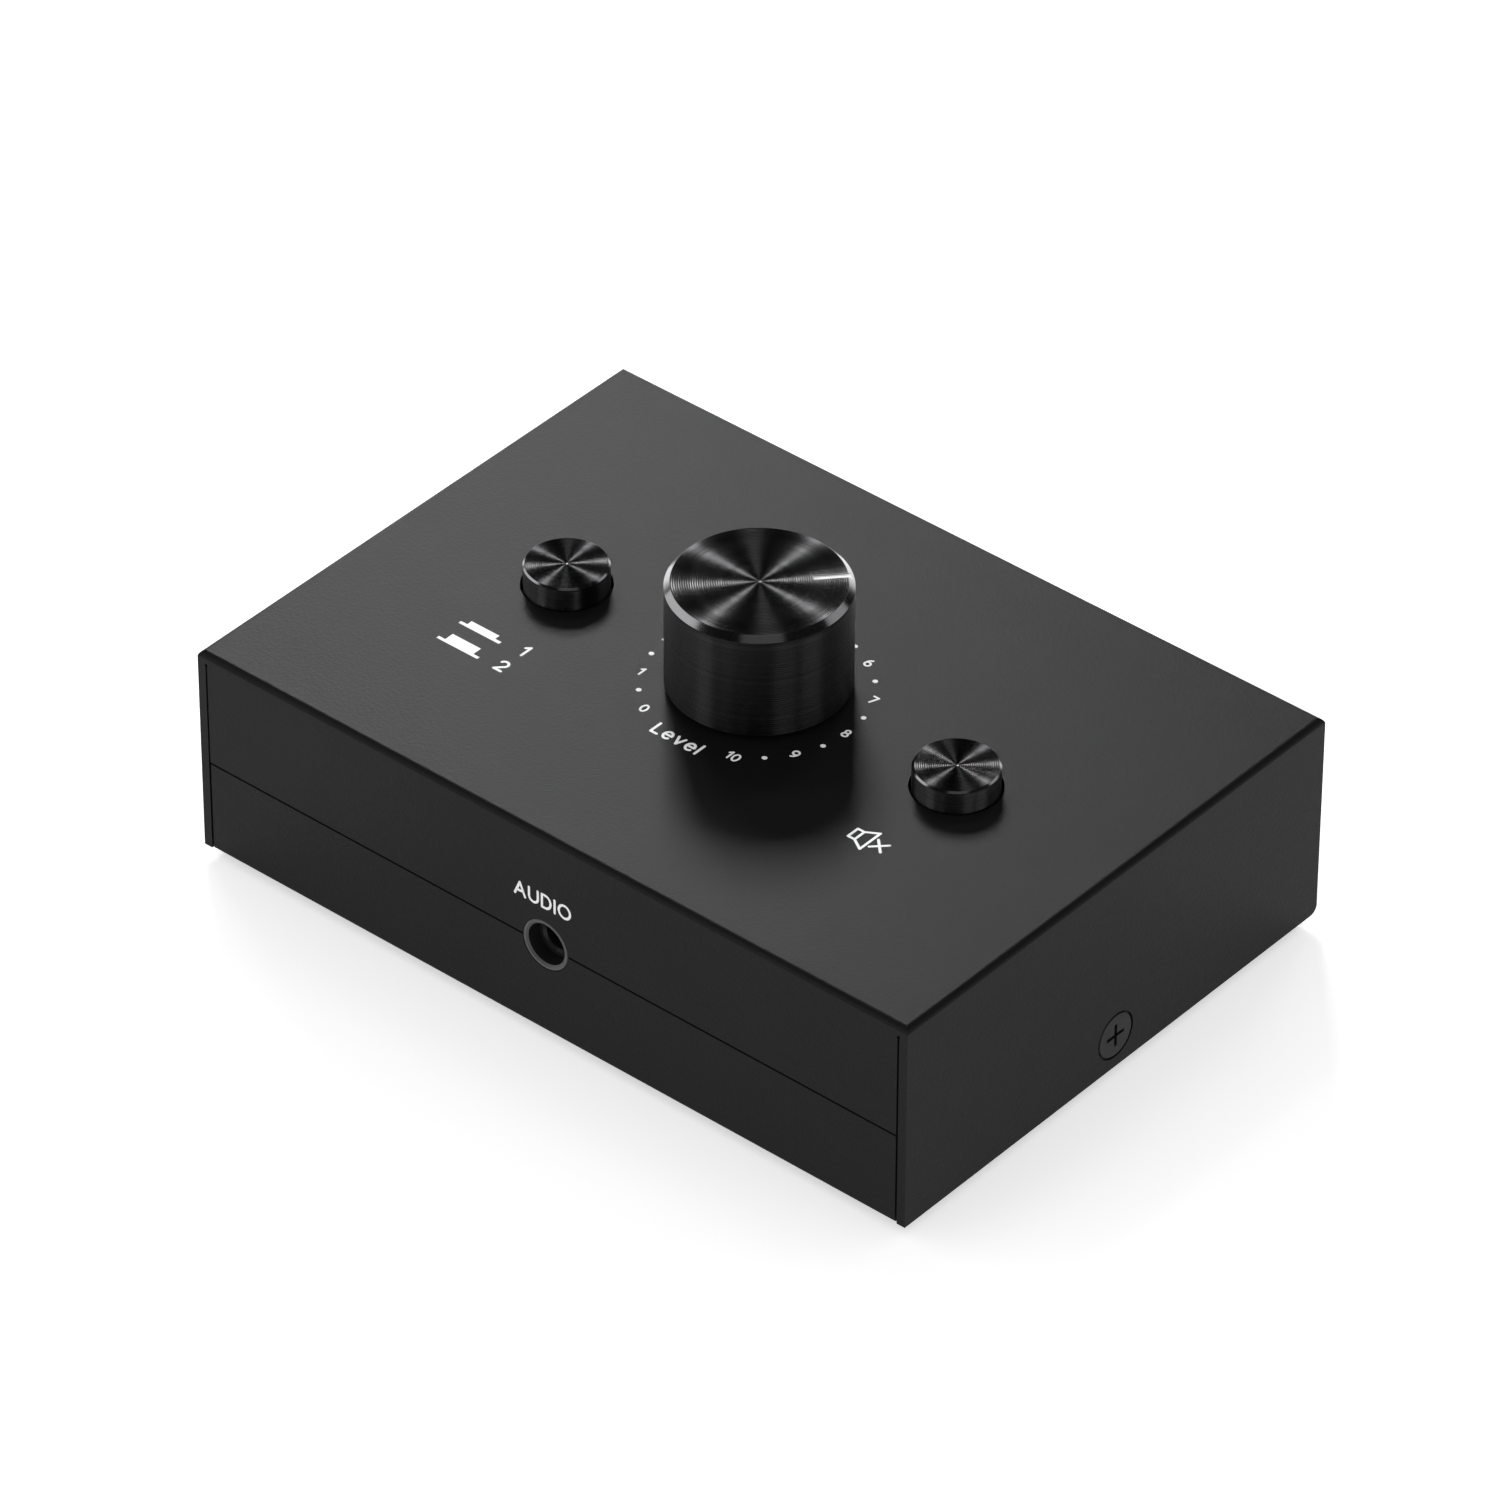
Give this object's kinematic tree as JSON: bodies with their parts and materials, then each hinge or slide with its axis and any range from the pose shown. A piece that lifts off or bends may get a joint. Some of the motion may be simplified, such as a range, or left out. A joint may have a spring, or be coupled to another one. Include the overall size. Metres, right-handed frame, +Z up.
{
  "type": "audio switch box",
  "caption": "Desktop box with a folded metal case that switches two audio inputs to one output, with a volume knob and mute and select buttons.",
  "frame": {"origin": "under the middle of the case, on the surface that the feet stand on", "axes": "+X to the right along the front wall, +Y from the front to the rear, +Z up along the knob's axis"},
  "size_m": [0.107, 0.075, 0.0447],
  "materials": {
    "case_steel": "satin black powder coat with a fine texture",
    "black_screws": "black oxide, satin",
    "foot_rubber": "matte black rubber",
    "board": "green solder mask",
    "plated_steel": "nickel or zinc plated steel",
    "pot_zinc": "cast zinc alloy, satin",
    "jack_collar": "satin dark grey",
    "jack_plastic": "moulded black plastic",
    "contact_metal": "plated spring bronze",
    "phenolic": "brown phenolic laminate",
    "black_anodised": "turned aluminium, black anodised, fine turning lines",
    "white_paint": "white paint in the pointer groove",
    "white_plastic": "natural white moulded plastic"
  },
  "bodies": {
    "case": {"top_cover": "case_steel", "base_plate": "case_steel", "side_screws": "black_screws", "rubber_feet": "foot_rubber", "circuit_board": "board", "board_standoffs": "plated_steel", "board_screws": "plated_steel", "output_jack_ring": "jack_collar", "output_jack_housing": "jack_plastic", "output_jack_contacts": "contact_metal", "input_jack_1_ring": "jack_collar", "input_jack_1_housing": "jack_plastic", "input_jack_1_contacts": "contact_metal", "input_jack_2_ring": "jack_collar", "input_jack_2_housing": "jack_plastic", "input_jack_2_contacts": "contact_metal", "pot_bushing": "pot_zinc", "pot_washer": "plated_steel", "pot_nut": "plated_steel", "pot_case": "plated_steel", "pot_track_upper": "phenolic", "pot_track_lower": "phenolic", "pot_terminals": "contact_metal", "select_switch_housing": "jack_plastic", "select_switch_base": "phenolic", "select_switch_terminals": "contact_metal", "select_switch_spring": "plated_steel", "select_latch_pin": "plated_steel", "mute_switch_housing": "jack_plastic", "mute_switch_base": "phenolic", "mute_switch_terminals": "contact_metal", "mute_switch_spring": "plated_steel", "mute_latch_pin": "plated_steel"},
    "volume_knob": {"volume_knob": "black_anodised", "knob_pointer": "white_paint", "knob_core": "white_plastic", "pot_shaft": "pot_zinc", "shaft_clip": "plated_steel", "pot_rotor_upper": "white_plastic", "pot_rotor_lower": "white_plastic", "pot_wiper_upper": "contact_metal", "pot_wiper_lower": "contact_metal"},
    "select_button": {"select_button_cap": "black_anodised", "select_plunger": "white_plastic", "select_sliding_contacts": "contact_metal"},
    "mute_button": {"mute_button_cap": "black_anodised", "mute_plunger": "white_plastic", "mute_sliding_contacts": "contact_metal"}
  },
  "joints": [
    {"name": "volume_turn", "type": "hinge", "parent": "case", "child": "volume_knob", "pos_m": [0, 0, 0.03], "axis": [0, 0, 1], "range_deg": [-107.5, 192.5]},
    {"name": "select_press", "type": "slide", "parent": "case", "child": "select_button", "axis": [0, 0, -1], "range_m": [0, 0.0022], "stiffness_N_per_m": 450, "springref_m": -0.0015, "deforming": ["select_switch_spring"]},
    {"name": "mute_press", "type": "slide", "parent": "case", "child": "mute_button", "axis": [0, 0, -1], "range_m": [0, 0.0022], "stiffness_N_per_m": 450, "springref_m": -0.0015, "deforming": ["mute_switch_spring"]}
  ]
}
